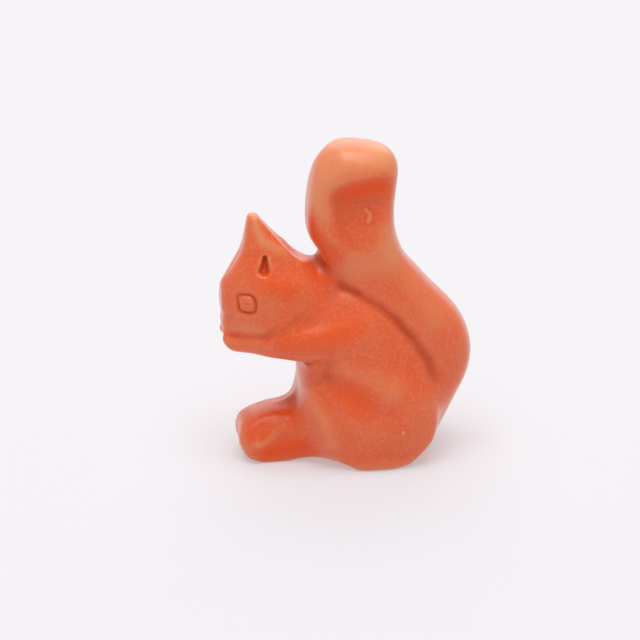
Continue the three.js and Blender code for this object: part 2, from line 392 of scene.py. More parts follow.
@dataclass(frozen=True)
class Streak:
    """A soft streak along a line on the left side of the skin.

    Attributes:
        path: Places along the line.
        height: How strong it is.
        widths: Half width at the start and at the end of the line.
        edge: How steep its sides are.
        fade: Over what share of its length its start and its end fade out.
        side_on: Whether it is measured as seen from the side.
    """

    path: Line
    height: float
    widths: Span
    edge: float = 2.0
    fade: Span = (0.0, 0.0)
    side_on: bool = False

    def level(self, points: np.ndarray) -> np.ndarray:
        """Say how near each point is to the line.

        Args:
            points: The skin, folded to its left side.

        Returns:
            For each point a level from 1 on the line to 0 away from it.
        """
        scale = np.array((0.0 if self.side_on else 1.0, 1.0, 1.0))
        away, along = gap_to(points * scale, np.array(self.path) * scale)
        width = np.interp(along, (0.0, 1.0), self.widths)
        level = np.exp(-((away / width) ** self.edge))
        for inward, length in zip((along, 1.0 - along), self.fade):
            if length:
                level *= eased(inward / length)
        return level


@dataclass(frozen=True)
class Tint(Streak):
    """A streak painted paler by its height, or deeper if that is less than nothing; all but the
    pale speck are painted light and shade.
    """


@dataclass(frozen=True)
class Stroke(Streak):
    """A ridge as high as its height, or a groove if that is less than nothing."""

    def shift(self, points: np.ndarray, normals: np.ndarray) -> np.ndarray:
        """Move the points near the line along their normals.

        Args:
            points: The skin, folded to its left side.
            normals: Its normals, folded too.

        Returns:
            How far each point moves.
        """
        return (self.height * self.level(points))[:, None] * normals


@dataclass(frozen=True)
class Grab:
    """A pull on a patch of the left side of the skin, as by a thumb.

    Attributes:
        path: The line through the middle of the patch.
        pull: How far the middle moves.
        reach: How far round the middle the skin follows.
    """

    path: Line
    pull: Point
    reach: float

    def shift(self, points: np.ndarray, normals: np.ndarray) -> np.ndarray:
        """Move the points of the patch.

        Args:
            points: The skin, folded to its left side.
            normals: Its normals, folded too; not used.

        Returns:
            How far each point moves.
        """
        away, _ = gap_to(points, self.path)
        return eased(1.0 - away / self.reach)[:, None] * np.array(self.pull)


@dataclass(frozen=True)
class Scoop:
    """A hollow within an outline seen from the side, steep at its top and fading downwards.

    Attributes:
        outline: Its corners as y and z.
        depth: How deep it is below its top edge.
        foot_depth: How deep it is above its bottom edge.
        top_wall: How wide its wall is at the top.
        foot_wall: How wide its wall is at the bottom.
    """

    outline: tuple[Span, ...]
    depth: float
    foot_depth: float
    top_wall: float
    foot_wall: float

    def shift(self, points: np.ndarray, normals: np.ndarray) -> np.ndarray:
        """Move the points within the outline inwards.

        Args:
            points: The skin, folded to its left side.
            normals: Its normals, folded too.

        Returns:
            How far each point moves.
        """
        roundings = 3
        corners = np.array(self.outline)
        for _ in range(roundings):
            after = np.roll(corners, -1, axis=0)
            cut = (0.75 * corners + 0.25 * after, 0.25 * corners + 0.75 * after)
            corners = np.stack(cut, axis=1).reshape(-1, 2)
        place = points[:, 1:]
        away, _ = gap_to(place, np.vstack((corners, corners[:1])))
        inside = np.zeros(len(place), dtype=bool)
        for start, end in zip(corners, np.roll(corners, -1, axis=0)):
            way = end - start
            spans = (start[1] > place[:, 1]) != (end[1] > place[:, 1])
            height = way[1] if way[1] else 1e-9
            crossing = start[0] + (place[:, 1] - start[1]) / height * way[0]
            inside ^= spans & (place[:, 0] < crossing)
        low, high = corners[:, 1].min(), corners[:, 1].max()
        rise = np.clip((place[:, 1] - low) / (high - low), 0.0, 1.0)
        wall = self.foot_wall + (self.top_wall - self.foot_wall) * rise
        depth = self.foot_depth + (self.depth - self.foot_depth) * rise
        sunk = np.where(inside, depth * (1.0 - np.exp(-((away / wall) ** 2))), 0.0)
        sunk *= np.clip(2.0 * normals[:, 0], 0.0, 1.0)
        return sunk[:, None] * np.array((-1.0, 0.0, 0.0))


@dataclass(frozen=True)
class Ring:
    """A groove round a low boss.

    Attributes:
        place: Its middle on the skin.
        out: The direction that it faces.
        radius: From its middle to the middle of the groove.
        width: Half width of the groove.
        depth: Depth of the groove.
        crown: How far the boss is raised.
        squareness: 2 for a round one, more for one with corners.
        boss_share: The boss's share of the radius.
    """

    place: Point
    out: Point
    radius: float
    width: float
    depth: float
    crown: float
    squareness: float
    boss_share: float = 0.7

    def shift(self, points: np.ndarray, normals: np.ndarray) -> np.ndarray:
        """Move the points in and round the ring.

        Args:
            points: The skin, folded to its left side.
            normals: Its normals, folded too.

        Returns:
            How far each point moves.
        """
        out = Vector(self.out).normalized()
        across = Vector((0.0, 0.0, 1.0)).cross(out).normalized()
        rise = out.cross(across)
        away = points - np.array(self.place)
        beside = np.abs(away @ np.array(across)) ** self.squareness
        above = np.abs(away @ np.array(rise)) ** self.squareness
        reach = (beside + above) ** (1.0 / self.squareness)
        near = np.exp(-((away @ np.array(out)) ** 4))
        groove = np.exp(-(((reach - self.radius) / self.width) ** 2))
        boss = np.exp(-((reach / (self.boss_share * self.radius)) ** 4))
        return ((self.crown * boss - self.depth * groove) * near)[:, None] * normals


@dataclass(frozen=True)
class Lumps:
    """The faint unevenness of a hand-cut mould.

    Attributes:
        height: How far it raises and sinks the skin.
        length: About how far apart its rises are.
    """

    height: float
    length: float

    def shift(self, points: np.ndarray, normals: np.ndarray) -> np.ndarray:
        """Move all the points a little along their normals.

        Args:
            points: The skin, folded to its left side.
            normals: Its normals, folded too.

        Returns:
            How far each point moves.
        """
        turns = 2.0 * math.pi / self.length
        x, y, z = (points * turns).T
        rise = np.sin(0.9 * x + 0.3 * y + 1.1) * np.sin(0.8 * y - 0.5 * z + 0.4)
        rise += np.sin(1.3 * z + 0.4 * x) * np.sin(0.7 * y + 0.9 * x + 2.0)
        return (self.height * rise)[:, None] * normals


@dataclass(frozen=True)
class Crease:
    """How the creases between some families of members are softened.

    Attributes:
        families: Pairs of families that meet in such a crease.
        core: How far it is softened in full to each side.
        reach: How far the softening spreads to each side.
        rounds: How often it is smoothed.
        axes: The axes along which the skin moves.
        facing: Which way the softened skin faces.
    """

    families: tuple[tuple[Family, Family], ...]
    core: float
    reach: float
    rounds: int
    axes: str = "xyz"
    facing: Facing = Facing.ANY


@dataclass(frozen=True)
class Patch:
    """A patch of the skin's left side that is softened.

    Attributes:
        place: Its middle.
        core: How far it is softened in full round its middle.
        reach: How far the softening spreads.
        rounds: How often it is smoothed.
        axes: The axes along which the skin moves.
    """

    place: Point
    core: float
    reach: float
    rounds: int
    axes: str


@dataclass
class Skin:
    """The moulded outside of the whole figure, before it is parted into its members.

    Attributes:
        voxel: Size of its faces before they are divided.
        closing: How far the members are grown so that their joints close.
        push: How far a round of smoothing moves a vertex to the middle of its neighbours.
        fair_rounds: How often the whole skin is smoothed against facets.
        relief_rounds: How far round a place its relief is measured.
        give_back: Over what length the reach lost to smoothing is given back.
        lean_rounds: How often the normals are averaged that the brushes follow.
        obj: Its mesh.
        relief: How far each of its vertices stands out from what is round it.
        depth: The painted shade that each of its vertices takes from the streaks, less than
            nothing where they paint light.
    """

    voxel: float = 0.24
    quick_voxel: float = 0.34
    closing: float = 0.22
    push: float = 0.5
    fair_rounds: int = 60
    relief_rounds: int = 60
    give_back: float = 7.0
    lean_rounds: int = 6
    obj: bpy.types.Object = field(init=False)
    relief: np.ndarray = field(init=False)
    depth: np.ndarray = field(init=False)
    registry: Registry = field(default_factory=Registry)
    CREASES: ClassVar[tuple[Crease, ...]] = (
        Crease(
            (
                (Family.TORSO, Family.HAUNCH), (Family.TORSO, Family.FORELEG),
                (Family.TORSO, Family.TAIL), (Family.HAUNCH, Family.TAIL),
                (Family.HAUNCH, Family.FORELEG), (Family.HEAD, Family.EAR),
                (Family.HEAD, Family.EYE), (Family.EAR, Family.EYE),
                (Family.HEAD, Family.FORELEG), (Family.HEAD, Family.TORSO),
            ),
            core=2.2,
            reach=5.0,
            rounds=600,
            axes="x",
            facing=Facing.SIDE,
        ),
        Crease(
            ((Family.HAUNCH, Family.FOOT), (Family.TORSO, Family.FOOT)),
            core=2.5,
            reach=6.0,
            rounds=700,
            axes="x",
            facing=Facing.SIDE,
        ),
        Crease(((Family.HEAD, Family.EAR),), core=1.5, reach=3.5, rounds=200, axes="y"),
        Crease(
            ((Family.FOOT, Family.FOOT),),
            core=1.0,
            reach=2.5,
            rounds=200,
            axes="z",
            facing=Facing.UP,
        ),
        Crease(((Family.TORSO, Family.FOOT),), core=1.2, reach=3.0, rounds=160),
        Crease(
            ((Family.TORSO, Family.HAUNCH), (Family.HAUNCH, Family.FOOT)),
            core=0.8,
            reach=2.8,
            rounds=100,
        ),
        Crease(((Family.HAUNCH, Family.TAIL),), core=1.4, reach=4.0, rounds=220),
        Crease(
            (
                (Family.TORSO, Family.HAUNCH), (Family.HAUNCH, Family.TAIL),
                (Family.HAUNCH, Family.FOOT), (Family.TORSO, Family.FOOT),
                (Family.FOOT, Family.FOOT), (Family.EAR, Family.EAR),
                (Family.HEAD, Family.EAR), (Family.HEAD, Family.EYE),
                (Family.TORSO, Family.FORELEG), (Family.FORELEG, Family.FORELEG),
            ),
            core=0.5,
            reach=2.2,
            rounds=60,
        ),
        Crease(
            (
                (Family.TORSO, Family.TAIL), (Family.HEAD, Family.TAIL),
                (Family.HEAD, Family.TORSO), (Family.HEAD, Family.FORELEG),
            ),
            core=0.2,
            reach=1.2,
            rounds=22,
        ),
    )
    PATCHES: ClassVar[tuple[Patch, ...]] = (
        Patch((3.2, -8.8, 22.3), core=1.0, reach=2.2, rounds=260, axes="x"),
        Patch((2.4, -11.0, 21.2), core=1.2, reach=3.0, rounds=120, axes="xyz"),
    )

    @property
    def step(self) -> float:
        """Size of the faces in this run."""
        return self.voxel

    def gather(self) -> None:
        """Close the members' joints and take one skin round them all."""
        clay = joined([bench_copy(member, self.closing) for member in MEMBERS])
        use_tool(clay, Tool.REMESH, mode="VOXEL", voxel_size=self.step, adaptivity=0.0)
        bodies = loose_parts(clay)
        for stray in bodies[1:]:
            discard(stray)
        self.obj = bodies[0]
        self.obj.name = "skin"
        use_tool(self.obj, Tool.GROW, strength=-self.closing, mid_level=0.0)

    def smooth(self, rounds: int, **settings: object) -> None:
        """Smooth the skin.

        Args:
            rounds: How often, for faces of the full skin's size.
            settings: Further settings of the modifier.
        """
        scaled = max(1, round(rounds * (self.voxel / self.step) ** 2))
        use_tool(self.obj, Tool.SMOOTH, factor=self.push, iterations=scaled, **settings)

    def fair(self) -> None:
        """Smooth the facets out of the skin, and give back what it shrank."""
        faceted = points_of(self.obj)
        self.smooth(self.fair_rounds)
        faired = points_of(self.obj)
        set_points(self.obj, faceted - faired)
        self.smooth(self.fair_rounds)
        set_points(self.obj, faired + points_of(self.obj))

    def soften_creases(self) -> None:
        """Round out the creases between the members, and the patches."""
        owners = self.registry.members_at(points_of(self.obj))
        for crease in self.CREASES:
            away = self.from_seam(points_of(self.obj), owners, crease)
            self.soften(crease, away, crease.facing.share(normals_of(self.obj)))
        for patch in self.PATCHES:
            points = points_of(self.obj)
            points[:, 0] = np.abs(points[:, 0])
            away = np.linalg.norm(points - np.array(patch.place), axis=1)
            self.soften(patch, away, Facing.ANY.share(points))

    def soften(self, what: Crease | Patch, away: np.ndarray, facing: np.ndarray) -> None:
        """Smooth the skin near a crease or a patch.

        Args:
            what: The crease or the patch.
            away: The distance of each point from it.
            facing: A share for each point, by the way that it faces.
        """
        share = np.clip((what.reach - away) / (what.reach - what.core), 0.0, 1.0)
        self.weigh("soft", share * facing)
        axes = {"use_" + axis: axis in what.axes for axis in "xyz"}
        self.smooth(what.rounds, vertex_group="soft", **axes)
        self.obj.vertex_groups.clear()

    def divide(self) -> None:
        """Give back the reach that the smoothing took, and divide the faces."""
        points = points_of(self.obj)
        for axis in range(3):
            for edge, best in ((0, np.min), (1, np.max)):
                lane = points[:, axis]
                tip = best(lane)
                lack = CAD_BOX[edge][axis] / MM - tip
                points[:, axis] = lane + lack * eased(1.0 - np.abs(lane - tip) / self.give_back)
        set_points(self.obj, points)
        use_tool(self.obj, Tool.DIVIDE, levels=1)

    def from_seam(self, points: np.ndarray, owners: np.ndarray, crease: Crease) -> np.ndarray:
        """Measure how far each point is from the seams of a kind of crease.

        Args:
            points: The skin.
            owners: The number of the member that each point belongs to.
            crease: The kind of crease.

        Returns:
            The distance of each point.
        """
        pairs = {frozenset(pair) for pair in crease.families}
        wanted = np.zeros((len(MEMBERS), len(MEMBERS)), dtype=bool)
        for one, first in enumerate(MEMBERS):
            for other, second in enumerate(MEMBERS):
                meets = frozenset((first.family, second.family)) in pairs
                wanted[one, other] = one != other and meets
        edges = edges_of(self.obj)
        crossing = edges[wanted[owners[edges[:, 0]], owners[edges[:, 1]]]]
        seam = points[np.unique(crossing)]
        tree = tree_of(seam)
        return np.array([tree.find(p)[2] for p in points.tolist()])

    def refine(self, place: Point, reach: float) -> None:
        """Divide the faces round a place, on both sides of the figure.

        Args:
            place: The place, on the left side.
            reach: How far round it to divide.
        """
        mesh = self.obj.data
        middles = rows_of(mesh.polygons, "center", 3)
        middles[:, 0] = np.abs(middles[:, 0])
        near = np.linalg.norm(middles - np.array(place), axis=1) < reach
        choose(self.obj)
        bpy.ops.object.mode_set(mode="EDIT")
        bpy.ops.mesh.select_mode(type="FACE")
        bpy.ops.mesh.select_all(action="DESELECT")
        bpy.ops.object.mode_set(mode="OBJECT")
        mesh.polygons.foreach_set("select", near)
        bpy.ops.object.mode_set(mode="EDIT")
        bpy.ops.mesh.subdivide(number_cuts=1)
        bpy.ops.object.mode_set(mode="OBJECT")

    def carve(self, brushes: Iterable[Brush]) -> None:
        """Move the skin by brushes that work alike on both sides.

        Args:
            brushes: The brushes, whose moves are added up.
        """
        points = points_of(self.obj)
        edges = edges_of(self.obj)
        normals = averaged(normals_of(self.obj), edges, self.lean_rounds)
        normals /= np.linalg.norm(normals, axis=1, keepdims=True)
        side = np.ones_like(points)
        side[:, 0] = np.where(points[:, 0] < 0.0, -1.0, 1.0)
        moved = np.zeros_like(points)
        for brush in brushes:
            moved += brush.shift(points * side, normals * side)
        set_points(self.obj, points + moved * side)

    def measure(self, tints: Iterable[Tint]) -> None:
        """Measure the relief of each place: over nothing on ridges, under it in creases.

        Args:
            tints: The streaks of painted shade and painted light.
        """
        points = points_of(self.obj)
        around = averaged(points, edges_of(self.obj), self.relief_rounds)
        self.relief = ((points - around) * normals_of(self.obj)).sum(axis=1)
        points[:, 0] = np.abs(points[:, 0])
        self.depth = np.zeros(len(points))
        for tint in tints:
            self.depth -= tint.height * tint.level(points)

    def weigh(self, name: str, weight: np.ndarray) -> None:
        """Store a weight for each vertex in a vertex group.

        Args:
            name: The group's name.
            weight: One weight from 0 to 1 for each vertex.
        """
        steps = 20
        group = self.obj.vertex_groups.new(name=name)
        level = np.round(weight * steps).astype(int)
        for step in range(1, steps + 1):
            rows = np.flatnonzero(level == step).tolist()
            if rows:
                group.add(rows, step / steps, "REPLACE")

    def settle(self) -> None:
        """Set the underside flat on the ground and keep the skin within its box."""
        low = np.array(CAD_BOX[0]) / MM
        high = np.array(CAD_BOX[1]) / MM
        set_points(self.obj, np.clip(points_of(self.obj), low, high))


@dataclass
class Sculpted:
    """A sub-assembly that is carved into the skin.

    Attributes:
        fine: Places that need small faces, each with its reach.
    """

    fine: tuple[tuple[Point, float], ...] = ()

    def brushes(self) -> list[Brush]:
        """List what shapes it, in the order of its fields."""
        return [value for value in vars(self).values() if isinstance(value, Brush)]

    def tints(self) -> list[Tint]:
        """List its painted streaks of shade and light, in the order of its fields."""
        return [value for value in vars(self).values() if isinstance(value, Tint)]


@dataclass
class Tail(Sculpted):
    """The tail, with a dish in each side of its plume and a crescent in each dish."""

    dish: Scoop = Scoop(
        (
            (-2.0, 30.2), (-1.1, 31.7), (0.9, 32.2), (3.3, 32.4), (4.5, 31.6), (4.6, 29.0),
            (4.4, 26.4), (3.9, 24.6), (2.7, 23.5), (1.2, 23.1), (-0.6, 23.4), (-2.0, 24.6),
            (-2.6, 26.6), (-2.5, 28.4),
        ),
        depth=0.3,
        foot_depth=0.3,
        top_wall=0.6,
        foot_wall=1.4,
    )
    crescent_line: Line = (
        (3.0, 1.75, 28.3), (3.0, 2.1, 28.0), (3.0, 2.2, 27.6), (3.0, 2.0, 27.2),
    )
    crescent: Stroke = Stroke(crescent_line, 0.12, (0.24, 0.24), side_on=True)
    back_crease: Stroke = Stroke(
        (
            (1.9, -2.4, 22.0), (2.2, -1.5, 20.6), (3.2, -0.4, 19.8), (3.9, 0.8, 19.3),
            (4.2, 2.9, 18.0), (4.5, 5.0, 16.2), (4.6, 6.7, 14.0), (4.6, 8.2, 11.7),
            (4.5, 9.1, 9.3), (4.3, 9.35, 7.8),
        ),
        height=-0.26,
        widths=(0.55, 0.9),
        fade=(0.0, 0.2),
    )
    crown: Stroke = Stroke(
        ((3.0, -1.6, 33.4), (3.1, 1.4, 34.0), (3.0, 4.4, 33.6)), -0.18, (1.4, 1.4)
    )
    crown_front: Grab = Grab(((0.0, -2.4, 34.2), (2.6, -2.2, 33.8)), (0.0, 0.18, -0.2), 2.2)
    plume_front: Grab = Grab(((0.0, -3.4, 32.2), (2.6, -2.6, 31.8)), (0.0, -0.45, 0.1), 4.6)
    neck_front: Grab = Grab(((0.0, -3.3, 23.2), (1.4, -3.2, 23.2)), (0.0, 0.4, -0.15), 2.0)
    # Painted shade in the dish and at the neck; painted highlights on the back, the neck, the
    # crown and the crescent.
    dish_shade: Tint = Tint(
        ((3.4, -0.8, 29.8), (3.4, 0.8, 30.6), (3.4, 3.2, 31.0)), -1.1, (1.4, 1.3)
    )
    neck_shade: Tint = Tint(
        ((2.0, -3.8, 27.0), (2.6, -3.0, 25.3), (3.2, -1.9, 23.5)), -0.5, (0.8, 1.0)
    )
    back_light: Tint = Tint(
        ((3.4, 5.4, 24.0), (4.0, 7.2, 20.0), (4.2, 9.2, 16.5)), 0.26, (1.6, 1.6)
    )
    neck_light: Tint = Tint(
        ((3.5, 4.8, 25.5), (3.8, 4.0, 22.8), (3.6, 0.4, 22.2)), 0.34, (1.5, 1.4)
    )
    crown_light: Tint = Tint(
        ((1.8, -2.6, 29.6), (1.8, -1.4, 32.8), (2.0, 3.6, 34.0)), 0.7, (2.2, 2.3)
    )
    crescent_light: Tint = Tint(crescent_line, 0.2, (0.25, 0.25), side_on=True)
    fine: tuple[tuple[Point, float], ...] = (((3.0, 1.9, 27.8), 1.2),)


@dataclass
class Head(Sculpted):
    """The head, with its ears, its eyes and the line of its mouth."""

    eye: Ring = Ring(
        (3.61, -11.02, 18.42), (0.92, -0.39, 0.06),
        radius=0.97,
        width=0.26,
        depth=0.26,
        crown=0.05,
        squareness=3.2,
    )
    hollow: Stroke = Stroke(
        ((2.9, -8.9, 23.1), (3.1, -8.9, 22.4), (3.3, -8.9, 21.9)),
        height=-0.68,
        widths=(0.2, 0.48),
        edge=3.2,
        side_on=True,
    )
    ridge_line: Line = (
        (0.9, -9.6, 26.3), (1.49, -9.38, 25.43), (1.84, -8.89, 24.64), (2.03, -7.13, 23.52),
        (2.1, -5.24, 22.13),
    )
    ridge: Stroke = Stroke(ridge_line, 0.14, (0.4, 0.6))
    gully: Stroke = Stroke(
        ((0.0, -8.9, 25.6), (0.0, -7.4, 24.0), (0.0, -5.4, 22.6)), -0.15, (0.7, 1.3)
    )
    mouth: Stroke = Stroke(
        (
            (0.0, -13.4, 14.2), (1.6, -13.0, 14.3), (2.6, -12.2, 14.5), (3.1, -11.0, 14.6),
            (3.69, -8.95, 14.8), (4.02, -6.86, 15.85), (3.84, -4.71, 17.36),
            (3.69, -3.1, 18.69),
        ),
        height=-0.13,
        widths=(0.5, 0.9),
        fade=(0.0, 0.4),
    )
    ear_tip: Grab = Grab(((0.0, -9.6, 26.0), (0.6, -9.5, 26.0)), (0.1, -0.05, 0.75), 3.6)
    brow: Grab = Grab(((0.0, -12.2, 21.0), (2.6, -11.2, 20.8)), (0.0, -0.52, 0.1), 3.4)
    muzzle: Grab = Grab(((0.0, -13.4, 17.5), (1.5, -13.2, 17.5)), (0.0, -0.25, 0.0), 1.6)
    chin: Grab = Grab(((0.0, -12.7, 15.3), (1.2, -12.5, 15.3)), (0.0, -0.65, 0.0), 1.9)
    ear_back: Grab = Grab(((0.0, -6.9, 23.6), (1.6, -6.8, 23.3)), (0.0, 0.35, 0.45), 3.2)
    # Painted shade at the nape and the cheek; painted highlights along the ear's ridge and on
    # the lip.
    nape_shade: Tint = Tint(((2.9, -3.6, 21.4), (3.2, -2.2, 20.8)), -0.9, (0.8, 0.7))
    cheek_shade: Tint = Tint(((3.6, -8.2, 20.6), (3.9, -6.6, 20.0)), -0.5, (0.9, 0.9))
    ridge_light: Tint = Tint(ridge_line, 0.45, (0.5, 0.5), fade=(0.0, 0.5))
    lip_light: Tint = Tint(((3.9, -9.8, 15.2), (3.2, -12.2, 15.6)), 0.4, (0.8, 0.8))
    fine: tuple[tuple[Point, float], ...] = ((eye.place, 1.7), (hollow.path[1], 1.5))


@dataclass
class Forelegs(Sculpted):
    """The forelegs, with the crease under each upper arm and the paws at the mouth."""

    under_arm: Stroke = Stroke(
        (
            (4.4, -4.9, 11.9), (5.3, -4.2, 12.0), (6.0, -3.3, 12.2), (6.4, -2.0, 12.4),
            (6.6, -0.8, 12.6),
        ),
        height=-0.2,
        widths=(0.6, 1.0),
        fade=(0.0, 0.5),
    )
    under_paw: Grab = Grab(((1.4, -12.9, 12.5), (2.8, -11.2, 12.3)), (0.0, 0.1, 0.42), 3.4)
    paw_tip: Grab = Grab(((0.0, -13.0, 13.9), (1.4, -13.0, 13.9)), (0.0, -0.35, 0.0), 1.5)
    # Painted shade on the arm and the shoulder.
    arm_shade: Tint = Tint(
        ((4.6, -7.0, 14.0), (6.0, -3.6, 14.6), (6.4, -1.4, 15.4)), -0.4, (0.9, 1.2)
    )
    shoulder_shade: Tint = Tint(((5.4, -2.0, 16.8), (5.6, 0.2, 16.4)), -0.3, (1.2, 1.2))


@dataclass
class Haunches(Sculpted):
    """The haunches, each with a hollow between thigh and shin, and a pale speck."""

    hollow_line: Line = (
        (5.6, -2.6, 10.6), (6.78, -0.83, 9.5), (7.15, 1.25, 7.97), (7.35, 3.35, 6.82),
    )
    shin_line: Line = (
        (4.8, -4.5, 8.6), (5.6, -3.9, 7.3), (6.2, -3.2, 6.0), (6.5, -2.7, 4.5),
        (6.5, -2.4, 3.3),
    )
    thigh_line: Line = ((6.3, -0.4, 10.9), (6.64, 1.84, 10.4), (6.9, 4.0, 9.4))
    speck_line: Line = ((7.05, 5.33, 4.4), (7.05, 5.33, 4.5))
    hollow: Stroke = Stroke(hollow_line, -0.32, (1.3, 2.0))
    shin: Stroke = Stroke(shin_line, 0.24, (0.9, 1.2))
    thigh: Stroke = Stroke(thigh_line, 0.2, (1.5, 2.0))
    sole: Stroke = Stroke(
        ((6.2, -1.2, 0.4), (6.7, 2.2, 0.4), (6.2, 6.4, 0.4)), 0.35, (1.1, 1.1)
    )
    heel: Grab = Grab(((4.2, 7.8, 0.0), (5.6, 7.0, 0.0)), (-0.15, -0.5, 0.2), 3.4)
    ankle: Grab = Grab(((6.0, -1.6, 0.2), (6.3, -0.8, 0.2)), (0.0, 0.4, 0.25), 1.8)
    speck: Stroke = Stroke(speck_line, 0.06, (0.14, 0.14), side_on=True)
    # Painted shade in the hollow, painted highlights on the shin and the thigh, and a pale
    # speck.
    hollow_shade: Tint = Tint(hollow_line, -0.8, (0.9, 1.6), fade=(0.3, 0.5))
    shin_light: Tint = Tint(shin_line, 0.14, (0.9, 0.9))
    thigh_light: Tint = Tint(thigh_line, 0.16, (1.2, 1.6))
    speck_light: Tint = Tint(speck_line, 1.0, (0.14, 0.14), side_on=True)
    fine: tuple[tuple[Point, float], ...] = ((speck_line[0], 0.8),)


@dataclass
class Feet(Sculpted):
    """The feet, with a ridge along each, a dip in each instep and a cleft between the toes."""

    top: Grab = Grab(((0.0, -10.0, 4.6), (0.0, -4.5, 5.8)), (0.0, 0.0, 0.7), 4.6)
    ridge_line: Line = (
        (3.1, -10.9, 2.8), (3.5, -10.2, 2.4), (3.5, -9.5, 2.3), (3.5, -8.8, 2.6),
        (3.3, -7.9, 3.7), (3.1, -6.8, 4.3), (3.6, -5.6, 4.3),
    )
    ridge: Stroke = Stroke(ridge_line, 0.24, (0.7, 0.8), fade=(0.3, 0.2))
    instep: Grab = Grab(((0.0, -9.4, 5.8), (1.6, -9.4, 5.6)), (0.0, 0.0, 0.2), 2.6)
    toes: Grab = Grab(((0.8, -11.3, 0.0), (3.0, -11.0, 0.0)), (0.0, 0.36, 0.26), 2.4)
    cleft: Stroke = Stroke(
        ((0.0, -11.4, 0.0), (0.0, -11.6, 1.6), (0.0, -11.3, 3.4)),
        height=-0.25,
        widths=(0.4, 0.4),
        fade=(0.0, 0.5),
    )
    dip: Stroke = Stroke(((0.9, -6.6, 5.3), (1.4, -5.4, 5.5)), -0.2, (1.0, 1.2))
    # Painted shade on the side, the instep and the top; a painted highlight along the ridge.
    side_shade: Tint = Tint(
        ((3.6, -8.8, 1.2), (3.6, -6.4, 2.0), (3.6, -4.6, 2.2)), -0.9, (0.8, 1.1)
    )
    instep_shade: Tint = Tint(((1.6, -6.6, 5.2), (2.2, -5.4, 5.2)), -0.7, (0.8, 0.8))
    top_shade: Tint = Tint(((2.6, -9.8, 3.6), (2.4, -6.5, 5.0)), -0.35, (1.6, 1.6))
    ridge_light: Tint = Tint(ridge_line, 0.14, (0.6, 0.6), fade=(0.3, 0.2))


def add_node(
    tree: bpy.types.NodeTree, kind: str, **settings: object
) -> bpy.types.ShaderNode:
    """Add a node to a tree and set its properties.

    Args:
        tree: The tree of a material or a group.
        kind: The node's type.
        settings: Its properties, and the values of its inputs by name in a dict "inputs".

    Returns:
        The node.
    """
    node = tree.nodes.new(kind)
    inputs = settings.pop("inputs", {})
    for name, value in settings.items():
        setattr(node, name, value)
    for name, value in inputs.items():
        node.inputs[name].default_value = value
    return node


def mapped(
    tree: bpy.types.NodeTree,
    value: bpy.types.NodeSocket,
    span: Span,
    result: Span,
) -> bpy.types.NodeSocket:
    """Map a value from one range to another.

    Args:
        tree: The tree of a material or a group.
        value: The value to map.
        span: The range that it comes from.
        result: The range that it goes to.

    Returns:
        The mapped value.
    """
    ends = {"From Min": span[0], "From Max": span[1], "To Min": result[0], "To Max": result[1]}
    node = add_node(tree, "ShaderNodeMapRange", inputs=ends)
    tree.links.new(value, node.inputs["Value"])
    return node.outputs["Result"]


def mixed(
    tree: bpy.types.NodeTree,
    share: bpy.types.NodeSocket,
    colour: bpy.types.NodeSocket,
    other: bpy.types.NodeSocket,
) -> bpy.types.NodeSocket:
    """Mix a colour with another one.

    Args:
        tree: The tree of a material or a group.
        share: The other colour's share.
        colour: The colour.
        other: The other colour.

    Returns:
        The mixed colour.
    """
    node = add_node(tree, "ShaderNodeMix", data_type="RGBA")
    tree.links.new(share, node.inputs["Factor"])
    tree.links.new(colour, node.inputs["A"])
    tree.links.new(other, node.inputs["B"])
    return node.outputs["Result"]


